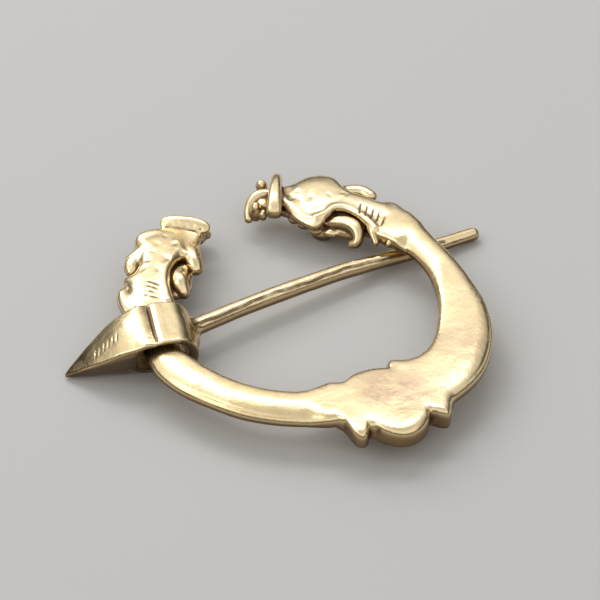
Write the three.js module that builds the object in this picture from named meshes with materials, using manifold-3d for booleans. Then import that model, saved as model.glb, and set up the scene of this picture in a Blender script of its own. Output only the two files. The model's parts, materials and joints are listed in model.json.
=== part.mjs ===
// A cast brass penannular brooch, lying with its carved front down and its plain back up.
// The hoop is one casting: a beast mask in the middle, a beast head on each end and a gap between the heads.
// The pin is the other: a wide loop round the hoop's left arm, with a pointed tongue outside the hoop and a
// shaft that runs under the right arm.
// Millimetres, +Z up. Everything is laid out round the hoop's centre, with the mask at -Y and the gap at +Y.
// The whole is then moved, so that the origin is the middle of its box, on the surface that it lies on.

import * as THREE from "three";
import { mergeVertices } from "three/addons/utils/BufferGeometryUtils.js";
import Module from "manifold-3d";

const wasm = await Module();
wasm.setup();

// ---------------------------------------------------------------- driving dimensions

const BACK_HEIGHT = 5.5; // the hoop's flat back above the surface it lies on
const WIDEST_HEIGHT = 4.3; // where the hoop's section is widest
const AXIS_RADIUS = 19.5; // the arc that the mask and the heads are laid out on
const HEAD_ROOT = 117; // degrees from the middle of the mask to the collar of a head
const STRAIGHT_FROM = 139; // from here a head runs on straight, off the arc

const HINGE_ANGLE = -102; // where the pin's loop sits on the left arm, in degrees from the mask
const HINGE_RADIUS = 18.4;
const HINGE_HEIGHT = 3.4;
const HINGE_DIRECTION = 74; // the way that the loop's hole runs, in degrees from +X
const HOLE_HALF_WIDTH = 3.3; // the oval hole that the arm passes through
const HOLE_HALF_HEIGHT = 2.72;
const BAND_THICKNESS = 0.66;
const BAND_WIDTH_TOP = 7.3;
const BAND_WIDTH_BOTTOM = 3.2;
const SHAFT_RADIUS = 1.1;
const SHAFT_TIP_RADIUS = 0.85;

// The hoop's outline. Each row is an angle from the mask in degrees, the inner and outer edges as distances from
// the hoop's centre, and the heights of the crest and the underside. A crest above the back is planed off to it.
const PLANED = BACK_HEIGHT + 0.35;
const MASK = [
  [-21, 14.15, 20.4, PLANED, 3.2],
  [-17.6, 13.85, 21.1, PLANED, 3.3],
  [-15.2, 13.95, 22.8, PLANED, 3.5],
  [-12.6, 14.05, 23.8, PLANED, 3.5], // left ear
  [-10.4, 14.05, 23.2, PLANED, 3.4],
  [-8.6, 13.85, 22.4, PLANED, 3.2],
  [-6.2, 13.55, 23.5, PLANED, 3],
  [-3, 13.3, 24.7, PLANED, 2.9],
  [0.5, 13.25, 25.2, PLANED, 2.9], // nose
  [4.5, 13.45, 24.9, PLANED, 2.8],
  [7.3, 13.75, 24.3, PLANED, 2.8],
  [9.6, 14.15, 23.7, PLANED, 2.8],
  [11, 14.45, 25, PLANED, 2.7],
  [12.4, 14.55, 25.7, PLANED, 2.7], // right ear
  [13.8, 14.05, 25.3, PLANED, 2.7],
  [16.2, 13.9, 24.1, PLANED, 2.8],
  [18, 14.15, 23.7, PLANED, 2.8],
  [21, 14.95, 23.7, PLANED, 2.8],
  [24, 15.55, 23.8, PLANED, 2.8],
];
const RIGHT_ARM = [
  [30, 16.35, 23.9, PLANED, 2.8],
  [40, 16.4, 23.5, PLANED, 2.8],
  [50, 16.15, 22.8, PLANED, 2.8],
  [62, 16.1, 21.8, PLANED, 2.8],
  [75, 16.2, 20.75, PLANED, 2.9],
  [90, 16.35, 20.2, PLANED, 3],
  [102, 16.3, 20.1, PLANED, 3],
  [111, 16.1, 20.6, PLANED, 2.9],
];
const LEFT_ARM = [
  [27, 14.9, 20, PLANED, 3.1],
  [38, 15.3, 20, PLANED, 3],
  [50, 15.5, 20.1, PLANED, 3],
  [64, 15.6, 20.3, PLANED, 2.9],
  [76, 16, 20.8, PLANED, 2.9],
  [86, 16.45, 21, 5.7, 2.95],
  [93, 16.85, 20.8, 5.5, 3], // the neck in the pin's loop
  [102, 16.7, 20.8, 5.5, 3],
  [111, 16.5, 20.8, 5.5, 3],
];
const HEAD = [
  [117, 15.8, 21.7, 5.7, 2.6],
  [121, 15.7, 21.9, 5.7, 2.3],
  [125, 16, 21.7, 5.6, 2.2],
  [129, 16.5, 21.6, 5.6, 2.2],
  [133, 16.8, 21.7, 5.6, 2.2],
  [137, 17, 21.8, 5.6, 2.2],
  [140, 17.1, 21.9, 5.55, 2.1],
  [141.6, 16.8, 22.3, 5.5, 2],
  [143, 15.7, 23.5, 5.5, 1.9],
  [144.6, 15, 24.6, 5.5, 1.9], // the hooks of the brow
  [147, 14.8, 24.9, 5.5, 1.9],
  [149.5, 14.8, 24.6, 5.4, 2],
  [152, 15.2, 23.8, 5.3, 2.4],
  [154.5, 15.7, 23, 5.2, 2.8],
  [157, 16.3, 22.3, 5.1, 3.1],
  [160, 16.9, 21.9, 5, 3.2],
  [164, 17.2, 21.7, 4.8, 3],
  [168, 17.1, 21.7, 4.5, 2.7],
  [171, 17.6, 21.3, 4.2, 2.7],
  [173, 18.6, 20.4, 3.9, 3],
];
const LEFT_HOOK_SHIFT = 1.8; // the left head's hooks sit this many degrees nearer its muzzle
const LEFT_HOOK_LESS = 0.9; // and its outer hook stands out this much less
const SECTION_SIDES = 12;
const SECTION_POWER = 2.6; // 2 is an ellipse, more is squarer

// ---------------------------------------------------------------- solids and placing

/** Makes a circle's sine or cosine into that of a squarer closed curve: 2 leaves it round. */
function squared(value, power) {
  return Math.abs(value) < 1e-9 ? 0 : Math.sign(value) * Math.abs(value) ** (2 / power);
}

/** A closed geometry as a manifold-3d solid. */
function solid(geometry) {
  const bare = geometry.index ? geometry.clone() : geometry;
  bare.deleteAttribute("normal");
  bare.deleteAttribute("uv");
  const merged = mergeVertices(bare, 1e-4);
  return new wasm.Manifold(
    new wasm.Mesh({
      numProp: 3,
      vertProperties: new Float32Array(merged.attributes.position.array),
      triVerts: new Uint32Array(merged.index.array),
    }),
  );
}

function geometryOf(body) {
  const mesh = body.getMesh();
  const geometry = new THREE.BufferGeometry();
  geometry.setAttribute("position", new THREE.BufferAttribute(mesh.vertProperties, 3));
  geometry.setIndex(new THREE.BufferAttribute(mesh.triVerts, 1));
  return geometry.toNonIndexed();
}

const join = (geometries) => geometries.map(solid).reduce((sum, part) => sum.add(part));

/** Moves every vertex of a geometry to where(x, y, z). A place that mirrors it turns its faces round. */
function moved(geometry, where, mirrors = false) {
  const result = geometry.index ? geometry.toNonIndexed() : geometry.clone();
  const position = result.attributes.position;
  for (let i = 0; i < position.count; i++) {
    const point = where(position.getX(i), position.getY(i), position.getZ(i));
    position.setXYZ(i, point.x, point.y, point.z);
  }
  if (mirrors) {
    for (let i = 0; i < position.count; i += 3) {
      const held = new THREE.Vector3().fromBufferAttribute(position, i + 1);
      position.setXYZ(i + 1, position.getX(i + 2), position.getY(i + 2), position.getZ(i + 2));
      position.setXYZ(i + 2, held.x, held.y, held.z);
    }
  }
  return result;
}

/** A closed body through rings that each hold the same number of points. */
function loft(rings) {
  const sides = rings[0].length;
  const triangles = [];
  const middle = (ring) => ring.reduce((sum, p) => sum.clone().add(p)).divideScalar(sides);
  for (let i = 0; i < sides; i++) {
    const j = (i + 1) % sides;
    for (let k = 0; k + 1 < rings.length; k++) {
      const [a, b, c, d] = [rings[k][i], rings[k][j], rings[k + 1][j], rings[k + 1][i]];
      triangles.push(a, b, c, a, c, d);
    }
    triangles.push(rings[0][j], rings[0][i], middle(rings[0]));
    triangles.push(rings.at(-1)[i], rings.at(-1)[j], middle(rings.at(-1)));
  }
  return new THREE.BufferGeometry().setFromPoints(triangles);
}

/** A point of the plan, at an angle from the mask in degrees and a distance from the hoop's centre. */
function onHoop(angle, radius, height) {
  const turn = THREE.MathUtils.degToRad(Math.min(Math.abs(angle), STRAIGHT_FROM));
  const run = AXIS_RADIUS * THREE.MathUtils.degToRad(Math.max(0, Math.abs(angle) - STRAIGHT_FROM));
  const x = radius * Math.sin(turn) + run * Math.cos(turn);
  const y = -radius * Math.cos(turn) + run * Math.sin(turn);
  return new THREE.Vector3(angle < 0 ? -x : x, y, height);
}

/** A head is shaped flat: x runs from its collar to its muzzle, y from its middle outwards, z up. */
function onHead(geometry, side) {
  const angleOf = (along) => HEAD_ROOT + THREE.MathUtils.radToDeg(along / AXIS_RADIUS);
  const where = (x, y, z) => onHoop(side * angleOf(x), AXIS_RADIUS + y, z);
  return moved(geometry, where, side > 0);
}

/** An egg-shaped boss. Its turn is about the vertical, in degrees. */
function boss(x, y, z, lengthwise, across, high, turn = 0) {
  const large = Math.max(lengthwise, across, high) > 1.6;
  return new THREE.SphereGeometry(1, large ? 10 : 8, large ? 7 : 5)
    .rotateX(Math.PI / 2)
    .scale(lengthwise, across, high)
    .rotateZ(THREE.MathUtils.degToRad(turn))
    .translate(x, y, z);
}

// ---------------------------------------------------------------- the hoop

/** The whole hoop from one muzzle to the other, as rings that follow the outline. */
function hoopBody() {
  const mirrored = (rows) => rows.map(([angle, ...rest]) => [-angle, ...rest]).reverse();
  const leftHead = HEAD.map(([angle, inner, outer, ...heights]) => {
    const onHook = angle > 130 && angle < 160;
    const tip = angle > 142 && angle < 153;
    return [angle + (onHook ? LEFT_HOOK_SHIFT : 0), inner, outer - (tip ? LEFT_HOOK_LESS : 0), ...heights];
  });
  const rows = [...mirrored(leftHead), ...mirrored(LEFT_ARM), ...MASK, ...RIGHT_ARM, ...HEAD];
  const angles = rows.map((row) => row[0]);
  const outline = new THREE.CubicInterpolant(angles, rows.flatMap((row) => row.slice(1)), 4);
  const last = HEAD.at(-1)[0];
  const rings = [];
  for (let angle = -last; angle <= last + 1e-6; ) {
    rings.push(hoopRing(angle, ...outline.evaluate(angle)));
    const near = Math.abs(angle + 1);
    const plain = near > 26 && near < HEAD_ROOT;
    angle += plain ? 4.4 : 1.8;
  }
  rings.push(hoopRing(last, ...outline.evaluate(last)));
  return loft(rings);
}

function hoopRing(angle, inner, outer, crest, underside) {
  const ring = [];
  for (let i = 0; i < SECTION_SIDES; i++) {
    const turn = (2 * Math.PI * i) / SECTION_SIDES;
    const across = squared(Math.cos(turn), SECTION_POWER);
    const up = squared(Math.sin(turn), SECTION_POWER);
    const radius = (inner + outer) / 2 - (across * (outer - inner)) / 2;
    const rise = up > 0 ? crest - WIDEST_HEIGHT : WIDEST_HEIGHT - underside;
    ring.push(onHoop(angle, radius, Math.min(BACK_HEIGHT, WIDEST_HEIGHT + up * rise)));
  }
  return ring;
}

/** The raised lip across a muzzle: an upright oval plate. */
function lipPlate(x, halfWidth, low, high, thickness) {
  const bevel = 0.25;
  const oval = new THREE.Shape();
  oval.absellipse(0, (low + high) / 2, halfWidth - bevel, (high - low) / 2 - bevel, 0, 2 * Math.PI);
  const plate = new THREE.ExtrudeGeometry(oval, {
    depth: thickness - 2 * bevel,
    bevelThickness: bevel,
    bevelSize: bevel,
    bevelSegments: 1,
    curveSegments: 9,
  });
  const upright = new THREE.Matrix4().makeBasis(
    new THREE.Vector3(0, 1, 0),
    new THREE.Vector3(0, 0, 1),
    new THREE.Vector3(1, 0, 0),
  );
  return plate.applyMatrix4(upright).translate(x - thickness / 2 + bevel, 0, 0);
}

// How the two heads differ: their ears, collar beads and lip plates.
const HEADS = [
  { side: 1, innerEar: [5.2, -3.2], outerEar: [5.9, 3.2], outerBeads: [], lip: 16, lipHalfWidth: 4.1 },
  {
    side: -1,
    innerEar: [5.9, -3.2],
    outerEar: [7.3, 2.8],
    outerBeads: [[1.6, 2.4], [4.4, 2.6]],
    lip: 15.4,
    lipHalfWidth: 2.95,
  },
];

/** What stands out from one head: ears, beads, eyes, cheeks, lip plate and nostrils. */
function headCarving({ innerEar, outerEar, outerBeads, lip, lipHalfWidth }) {
  const pieces = [
    lipPlate(lip, lipHalfWidth, 3.6, 6.6, 0.8),
    boss(...innerEar, 3.3, 2.2, 1.3, 1.3, 12), // ears
    boss(...outerEar, 3.5, 2, 1.3, 1.2, -6),
    boss(0.4, -4, 4, 0.8, 0.8, 0.75), // beads on the collar
    ...outerBeads.map(([x, y]) => boss(x, y, 4.1, 1.1, 0.9, 0.9)),
    boss(12.6, 0, 2.7, 3, 0.9, 0.9), // ridge of the nose, on the carved front
    boss(4.5, 0, 2.3, 2.8, 1.4, 1), // nape
    boss(lip + 2.6, 0, 3.3, 1.6, 0.7, 0.9), // between the nostrils
  ];
  for (const y of [-1, 1]) {
    pieces.push(
      boss(9.2, y * 2.5, 1.45, 1.6, 1.4, 1.5), // eye, which the brooch lies on
      boss(11.7, y * 2.3, 2.6, 0.9, 0.8, 0.8), // cheek bead
      boss(lip + 2.4, y * 1.95, 3, 1.2, 1.15, 1.2), // nostril
    );
  }
  return pieces;
}

/** What stands out from the mask on the carved front, laid out by angle and radius. */
function maskCarving() {
  const at = (angle, radius, z, around, outwards, high) => {
    const place = onHoop(angle, radius, z);
    return boss(0, 0, 0, around, outwards, high, angle).translate(place.x, place.y, place.z);
  };
  const pieces = [at(0.5, 19.3, 2.1, 2, 2, 2.2)]; // snout, which the brooch lies on
  for (const side of [-1, 1]) {
    pieces.push(
      at(side * 8.5, 17.6, 2.9, 1.3, 1.3, 1.4), // eye
      at(side * 12.5, 20.4, 3.3, 1, 2, 1), // ear
      at(side * 15, 16.4, 3.1, 2.4, 0.9, 1), // brow
    );
  }
  return pieces;
}

/** Takes off whatever reaches below the surface that the brooch lies on, which leaves small flat feet. */
function footed(body) {
  const below = new THREE.BoxGeometry(80, 80, 10).translate(0, 0, -5);
  return body.subtract(solid(below));
}

function hoop() {
  const pieces = [hoopBody(), ...maskCarving()];
  for (const head of HEADS) {
    pieces.push(...headCarving(head).map((piece) => onHead(piece, head.side)));
  }
  return geometryOf(footed(join(pieces)));
}

// ---------------------------------------------------------------- the pin

const hinge = onHoop(HINGE_ANGLE, HINGE_RADIUS, HINGE_HEIGHT);

/** The pin's head is shaped flat: x points away from the hoop, y along the hinge towards the mask, z up. */
function onHinge(geometry) {
  const turn = THREE.MathUtils.degToRad(HINGE_DIRECTION + 90);
  return geometry.rotateZ(turn).translate(hinge.x, hinge.y, hinge.z);
}

/** The edge of the loop's hole at a turn from the outward side, the top being at a quarter turn. */
function holeEdge(turn) {
  const x = HOLE_HALF_WIDTH * squared(Math.cos(turn), 2.7);
  const z = HOLE_HALF_HEIGHT * squared(Math.sin(turn), 2.7);
  return new THREE.Vector2(x, z);
}

/** The band round the arm, broad on the back and narrower below: a ring whose section changes on the way. */
function loopBand() {
  const tube = 0.4;
  const ring = new THREE.TorusGeometry(1, tube, 8, 36);
  const where = (x, y, z) => {
    const turn = Math.atan2(y, x);
    const inwards = Math.max(0, -Math.cos(turn));
    const thickness = BAND_THICKNESS + 0.55 * inwards;
    const spread = ((1 + Math.sin(turn)) / 2) ** (1 - 0.6 * inwards);
    const halfWidth = THREE.MathUtils.lerp(BAND_WIDTH_BOTTOM, BAND_WIDTH_TOP, spread) / 2;
    const out = (Math.hypot(x, y) - 1) / tube;
    const depth = thickness * (0.5 + 0.5 * squared(out, 3.4));
    const along = halfWidth * squared(z / tube, 5);
    const edge = holeEdge(turn);
    const away = edge.clone().divide(new THREE.Vector2(HOLE_HALF_WIDTH ** 2, HOLE_HALF_HEIGHT ** 2));
    edge.addScaledVector(away.normalize(), depth);
    return new THREE.Vector3(edge.x, along, edge.y);
  };
  return onHinge(moved(ring, where, true));
}

function loopHole() {
  const edge = Array.from({ length: 36 }, (_, i) => holeEdge((2 * Math.PI * i) / 36));
  const hole = new THREE.ExtrudeGeometry(new THREE.Shape(edge), { depth: 20, bevelEnabled: false });
  return onHinge(hole.translate(0, 0, -10).rotateX(Math.PI / 2));
}

// The tongue from the loop to its point: distance from the hinge, half the width, top edge, underside.
const TONGUE = [
  [2.9, 3.6, 5.75, 0.3],
  [4.8, 3.2, 5.05, 0.3],
  [6.1, 2.8, 4.35, 0.3],
  [7.3, 2.3, 3.6, 0.25],
  [8.5, 1.75, 2.8, 0.2],
  [9.9, 1.0, 1.75, 0.1],
  [10.8, 0.55, 1.05, 0],
  [11.3, 0.25, 0.6, 0],
];

/** The tongue: a keeled wedge with a gently arched top, which runs out to a point outside the hoop. */
function tongue() {
  const profile = new THREE.CubicInterpolant(
    TONGUE.map((row) => row[0]),
    TONGUE.flatMap((row) => row.slice(1)),
    3,
  );
  const [first, last] = [TONGUE[0][0], TONGUE.at(-1)[0]];
  const steps = 14;
  const rings = [];
  for (let i = 0; i <= steps; i++) {
    const x = THREE.MathUtils.lerp(first, last, i / steps);
    const [half, top, under] = profile.evaluate(x);
    const tall = top - under;
    const keel = Math.min(half * 0.36, 1.3);
    const section = [
      [0, top + 0.1 * half],
      [-0.55 * half, top + 0.07 * half],
      [-half, top],
      [-half * 0.98, top - 0.18 * tall],
      [-THREE.MathUtils.lerp(keel, half, 0.45), under + 0.42 * tall],
      [-keel, under + 0.08 * tall],
      [0, under],
    ];
    const other = section.slice(1, -1).reverse().map(([y, z]) => [-y, z]);
    rings.push([...section, ...other].map(([y, z]) => new THREE.Vector3(x, y, z - HINGE_HEIGHT)));
  }
  return onHinge(loft(rings));
}

/** The shaft: a round rod with a slight bow, from the loop under the right arm to a blunt tip. */
function shaft() {
  const spine = new THREE.CatmullRomCurve3([
    new THREE.Vector3(-14.6, 4, 3.4),
    new THREE.Vector3(-12.4, 4.2, 3.4),
    new THREE.Vector3(-5, 4.9, 3.1),
    new THREE.Vector3(2.2, 5.35, 2.7),
    new THREE.Vector3(8.1, 5.6, 2.3),
    new THREE.Vector3(12.5, 5.55, 1.95),
    new THREE.Vector3(17, 5.4, 1.6),
    new THREE.Vector3(22.5, 5.3, 1.25),
    new THREE.Vector3(28, 5.4, SHAFT_TIP_RADIUS),
  ]);
  const steps = 30;
  const sides = 10;
  const rings = [];
  for (let i = 0; i <= steps; i++) {
    const along = i < steps - 3 ? i / (steps - 2) : 1 - [0.02, 0.006, 0.001, 0][i - steps + 3];
    const centre = spine.getPointAt(along);
    const tangent = spine.getTangentAt(along);
    const across = new THREE.Vector3(-tangent.y, tangent.x, 0).normalize();
    const up = tangent.clone().cross(across);
    const left = (1 - along) * spine.getLength() + 0.06;
    const roundTip = Math.sqrt(1 - (1 - Math.min(1, left / 1.2)) ** 2);
    const radius = THREE.MathUtils.lerp(SHAFT_RADIUS, SHAFT_TIP_RADIUS, along ** 1.4) * roundTip;
    const ring = [];
    for (let k = 0; k < sides; k++) {
      const turn = (2 * Math.PI * k) / sides;
      const offset = across.clone().multiplyScalar(radius * Math.cos(turn));
      ring.push(centre.clone().add(offset.addScaledVector(up, radius * Math.sin(turn))));
    }
    rings.push(ring);
  }
  return loft(rings);
}

function pin() {
  const root = onHinge(boss(-4.3, -1.1, -0.3, 0.9, 2.5, 1.6)); // where the shaft spreads into the loop
  const body = join([loopBand(), tongue(), root, shaft()]).subtract(solid(loopHole()));
  return geometryOf(footed(body));
}

// ---------------------------------------------------------------- the brooch

function brass(name, geometry) {
  geometry.computeVertexNormals();
  const material = new THREE.MeshStandardMaterial({ color: 0xd9bd7a, metalness: 1, roughness: 0.28 });
  const mesh = new THREE.Mesh(geometry, material);
  mesh.name = name;
  return mesh;
}

const brooch = new THREE.Group();
brooch.add(brass("hoop", hoop()), brass("pin", pin()));
const middle = new THREE.Box3().setFromObject(brooch).getCenter(new THREE.Vector3());
brooch.position.set(-middle.x, -middle.y, 0);

export default brooch;
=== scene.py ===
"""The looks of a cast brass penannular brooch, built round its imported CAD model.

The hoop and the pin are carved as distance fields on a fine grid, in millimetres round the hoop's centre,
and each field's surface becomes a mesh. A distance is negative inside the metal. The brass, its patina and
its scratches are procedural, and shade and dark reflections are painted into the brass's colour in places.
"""

import json
import math

import bmesh
import bpy
import numpy as np
import openvdb
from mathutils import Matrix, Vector


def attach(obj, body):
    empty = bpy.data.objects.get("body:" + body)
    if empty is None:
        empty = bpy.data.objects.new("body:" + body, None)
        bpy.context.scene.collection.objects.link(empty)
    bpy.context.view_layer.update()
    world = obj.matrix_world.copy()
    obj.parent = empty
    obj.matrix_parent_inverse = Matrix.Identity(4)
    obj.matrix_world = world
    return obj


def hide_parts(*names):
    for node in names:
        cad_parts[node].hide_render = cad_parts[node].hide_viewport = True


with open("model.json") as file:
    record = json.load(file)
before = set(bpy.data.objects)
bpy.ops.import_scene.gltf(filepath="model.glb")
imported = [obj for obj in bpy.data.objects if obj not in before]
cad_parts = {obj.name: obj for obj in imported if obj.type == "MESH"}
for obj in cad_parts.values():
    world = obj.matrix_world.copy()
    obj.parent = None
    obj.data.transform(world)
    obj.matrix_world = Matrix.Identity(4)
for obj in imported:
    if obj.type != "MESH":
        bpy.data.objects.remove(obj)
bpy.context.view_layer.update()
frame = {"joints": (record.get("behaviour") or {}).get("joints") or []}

MM = 0.001

# ---------------------------------------------------------------- named sizes, as in the part's source

BACK_HEIGHT = 5.5
WIDEST_HEIGHT = 4.3
AXIS_RADIUS = 19.5
HEAD_ROOT = 117
STRAIGHT_FROM = 139
HINGE_ANGLE = -102
HINGE_RADIUS = 18.4
HINGE_HEIGHT = 3.4
HINGE_DIRECTION = 74
HOLE_HALF_WIDTH = 3.3
HOLE_HALF_HEIGHT = 2.72
HOLE_SQUARENESS = 2.7
BAND_THICKNESS = 0.66
BAND_WIDTH_TOP = 7.3
BAND_WIDTH_BOTTOM = 3.2

# ---------------------------------------------------------------- the fields' own sizes

VOXEL_HOOP = 0.12
VOXEL_PIN = 0.1
MOST_FACES = 190000  # in each piece, above which its flattest faces are merged
FAR = 5.0  # the distance that a field holds where no metal is near
NARROW = 0.5  # the surface is made from the distances up to this one
MARGIN = 0.6  # how far outside its own box a shape is worked out


def on_hoop(angle, radius):
    """A point of the plan, at an angle from the mask in degrees and a distance from the hoop's centre."""
    turn = math.radians(min(abs(angle), STRAIGHT_FROM))
    run = AXIS_RADIUS * math.radians(max(0, abs(angle) - STRAIGHT_FROM))
    x = radius * math.sin(turn) + run * math.cos(turn)
    y = -radius * math.cos(turn) + run * math.sin(turn)
    return np.array([-x if angle < 0 else x, y])


hinge = on_hoop(HINGE_ANGLE, HINGE_RADIUS)
joint_at = np.array(frame["joints"][0]["pos_m"][:2]) / MM
CENTRE = joint_at - hinge  # the hoop's centre in the part's own frame


def from_hinge(x, y):
    """Plan positions in the pin's own directions: from the hinge towards the tongue, and across."""
    turn = math.radians(HINGE_DIRECTION + 90)
    dx, dy = x - hinge[0], y - hinge[1]
    return dx * math.cos(turn) + dy * math.sin(turn), dy * math.cos(turn) - dx * math.sin(turn)


# ---------------------------------------------------------------- fields


def curve(keys, values, at):
    """A smooth curve through the values, read at the given places."""
    keys, values = np.asarray(keys, float), np.asarray(values, float)
    slope = np.gradient(values, keys)
    at = np.clip(at, keys[0], keys[-1])
    i = np.clip(np.searchsorted(keys, at, side="right") - 1, 0, len(keys) - 2)
    span = keys[i + 1] - keys[i]
    t = (at - keys[i]) / span
    start, end = values[i], values[i + 1]
    a, b = slope[i] * span, slope[i + 1] * span
    return start + t * (a + t * (3 * (end - start) - 2 * a - b + t * (a + b - 2 * (end - start))))


def soft_step(value, low, high):
    """Rises smoothly from nothing at low to one at high."""
    t = np.clip((value - low) / (high - low), 0, 1)
    return t * t * (3 - 2 * t)


def smooth_min(a, b, fillet):
    """Two shapes joined, with a fillet between them."""
    h = np.maximum(fillet - np.abs(a - b), 0) / fillet
    return np.minimum(a, b) - h * h * fillet / 4


def smooth_max(a, b, fillet):
    """What two shapes share, with a rounded edge."""
    return -smooth_min(-a, -b, fillet)


def superellipse(x, y, half_x, half_y, power):
    """Roughly the distance to a squarish oval round 0, 0."""
    u, v = np.abs(x / half_x) + 1e-6, np.abs(y / half_y) + 1e-6
    q = (u**power + v**power) ** (1 / power)
    steep = q ** (1 - power) * np.hypot(u ** (power - 1) / half_x, v ** (power - 1) / half_y)
    return (q - 1) / np.maximum(steep, 0.05)


def spline(points, per_span=6):
    """Points on a smooth curve through rows of (x, y, z, radius)."""
    points = np.asarray(points, float)
    if len(points) < 3:
        return points
    keys = np.arange(len(points))
    at = np.linspace(0, len(points) - 1, per_span * (len(points) - 1) + 1)
    return np.stack([curve(keys, points[:, k], at) for k in range(points.shape[1])], 1)


class Field:
    """A distance field on a grid. A plan turns the grid's x and y into a feature's own coordinates."""

    def __init__(self, low, high, step):
        self.step = step
        self.low = np.asarray(low, float)
        count = np.ceil((np.asarray(high) - self.low) / step).astype(int) + 1
        axes = [(self.low[k] + step * np.arange(count[k])).astype(np.float32) for k in range(3)]
        self.x, self.y = np.meshgrid(axes[0], axes[1], indexing="ij")
        self.z = axes[2]
        self.d = np.full(count, FAR, np.float32)
        self.plans = {"plain": (self.x, self.y, np.ones_like(self.x, bool))}

    def rows(self, plan, low, high):
        """The block of the grid where a plan's coordinates lie between two corners, and those coordinates."""
        u, v, valid = self.plans[plan]
        near = valid & (u >= low[0]) & (u <= high[0]) & (v >= low[1]) & (v <= high[1])
        i, j = np.flatnonzero(near.any(1)), np.flatnonzero(near.any(0))
        k = np.flatnonzero((self.z >= low[2]) & (self.z <= high[2]))
        if not (len(i) and len(j) and len(k)):
            return None
        block = np.s_[i[0] : i[-1] + 1, j[0] : j[-1] + 1, k[0] : k[-1] + 1]
        flat = block[:2]
        outside = ~valid[flat]
        return block, u[flat][..., None], v[flat][..., None], self.z[block[2]][None, None], outside[..., None]

    def put(self, plan, low, high, distance, fillet, carve=False):
        """Joins a shape that lies between two corners to the field, or carves it out."""
        reach = fillet + MARGIN
        found = self.rows(plan, np.subtract(low, reach), np.add(high, reach))
        if found is None:
            return
        block, u, v, w, outside = found
        shape = distance(u, v, w).astype(np.float32)
        shape = np.where(outside, np.float32(FAR), shape)
        old = self.d[block]
        self.d[block] = smooth_max(old, -shape, fillet) if carve else smooth_min(old, shape, fillet)

    def top(self, plan, a, b):
        """The height of the metal's highest surface at a place of a plan."""
        u, v, valid = self.plans[plan]
        i, j = np.unravel_index(np.argmin(np.where(valid, (u - a) ** 2 + (v - b) ** 2, np.inf)), u.shape)
        column = self.d[i, j]
        k = np.flatnonzero(column < 0)[-1]
        return float(self.z[k] + self.step * column[k] / (column[k] - column[k + 1]))

    def egg(self, plan, centre, radii, fillet=0.35, turn=0, carve=False):
        """An egg-shaped boss or hollow, turned about the vertical by so many degrees."""
        cx, cy, cz = centre
        rx, ry, rz = radii
        c, s = math.cos(math.radians(turn)), math.sin(math.radians(turn))
        wide = max(rx, ry)

        def distance(u, v, w):
            a, b, h = c * (u - cx) + s * (v - cy), c * (v - cy) - s * (u - cx), w - cz
            near = np.sqrt((a / rx) ** 2 + (b / ry) ** 2 + (h / rz) ** 2) + 1e-5
            steep = np.sqrt((a / rx**2) ** 2 + (b / ry**2) ** 2 + (h / rz**2) ** 2) + 1e-5
            return near * (near - 1) / steep

        low, high = (cx - wide, cy - wide, cz - rz), (cx + wide, cy + wide, cz + rz)
        self.put(plan, low, high, distance, fillet, carve)

    def rope(self, plan, points, fillet=0.3, carve=False, per_span=6, flat=1.0):
        """A round rod through rows of (x, y, z, radius). flat squashes its height."""
        path = spline(points, per_span)
        reach = path[:, 3].max()
        low, high = path[:, :3].min(0) - reach, path[:, :3].max(0) + reach

        def distance(u, v, w):
            nearest = None
            for a, b in zip(path[:-1], path[1:]):
                run = b[:3] - a[:3]
                run[2] /= flat
                length = max(run @ run, 1e-9)
                du, dv, dw = u - a[0], v - a[1], (w - a[2]) / flat
                t = np.clip((du * run[0] + dv * run[1] + dw * run[2]) / length, 0, 1)
                gap = np.sqrt((du - t * run[0]) ** 2 + (dv - t * run[1]) ** 2 + (dw - t * run[2]) ** 2)
                gap = gap - (a[3] + t * (b[3] - a[3]))
                nearest = gap if nearest is None else np.minimum(nearest, gap)
            return nearest

        self.put(plan, low, high, distance, fillet, carve)

    def even(self):
        """Rescales the field, so that it rises by one millimetre per millimetre."""
        gx, gy, gz = np.gradient(self.d, self.step)
        steep = np.sqrt(gx * gx + gy * gy + gz * gz)
        self.d /= np.clip(steep, 0.4, 4)

    def unevenness(self, seed, sizes, waves=5):
        """Slow random waves: rows of (height, length), in millimetres."""
        random = np.random.default_rng(seed)
        total = np.zeros_like(self.d)
        for height, length in sizes:
            for _ in range(waves):
                way = random.normal(size=3)
                way *= 2 * math.pi / length / np.linalg.norm(way)
                start = random.uniform(0, 2 * math.pi)
                flat = (way[0] * self.x + way[1] * self.y + start)[..., None]
                total += (height / waves) * np.sin(flat + way[2] * self.z[None, None]).astype(np.float32)
        self.d += total

    def foot(self):
        """Keeps the shape above the surface that it lies on."""
        self.d = smooth_max(self.d, -self.z[None, None], 0.15)

    def blurred(self, size):
        """The field's mean over a cube of about the given size."""
        half = max(1, round(size / self.step / 2))
        mean = self.d.astype(np.float64)
        for axis in range(3):
            before = np.repeat(mean.take([0], axis), half + 1, axis)
            after = np.repeat(mean.take([-1], axis), half, axis)
            total = np.cumsum(np.concatenate([before, mean, after], axis), axis)
            n = mean.shape[axis]
            upper = total.take(np.arange(2 * half + 1, 2 * half + 1 + n), axis)
            mean = (upper - total.take(np.arange(n), axis)) / (2 * half + 1)
        return mean

    def read(self, values, points):
        """Values of a grid at points between its own."""
        at = (points - self.low) / self.step
        base = np.clip(np.floor(at).astype(int), 0, np.array(values.shape) - 2)
        t = at - base
        total = 0
        for corner in range(8):
            pick = [(corner >> k) & 1 for k in range(3)]
            share = np.prod([t[:, k] if pick[k] else 1 - t[:, k] for k in range(3)], 0)
            total = total + share * values[base[:, 0] + pick[0], base[:, 1] + pick[1], base[:, 2] + pick[2]]
        return total


# ---------------------------------------------------------------- surfaces

# The broadest of these hollow marks, shelter, sets where shade is painted; the two finer ones set the patina.
HOLLOWS = {"fine": 0.5, "relief": 0.9, "shelter": 2.4}  # the cubes over which a hollow is felt


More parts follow.
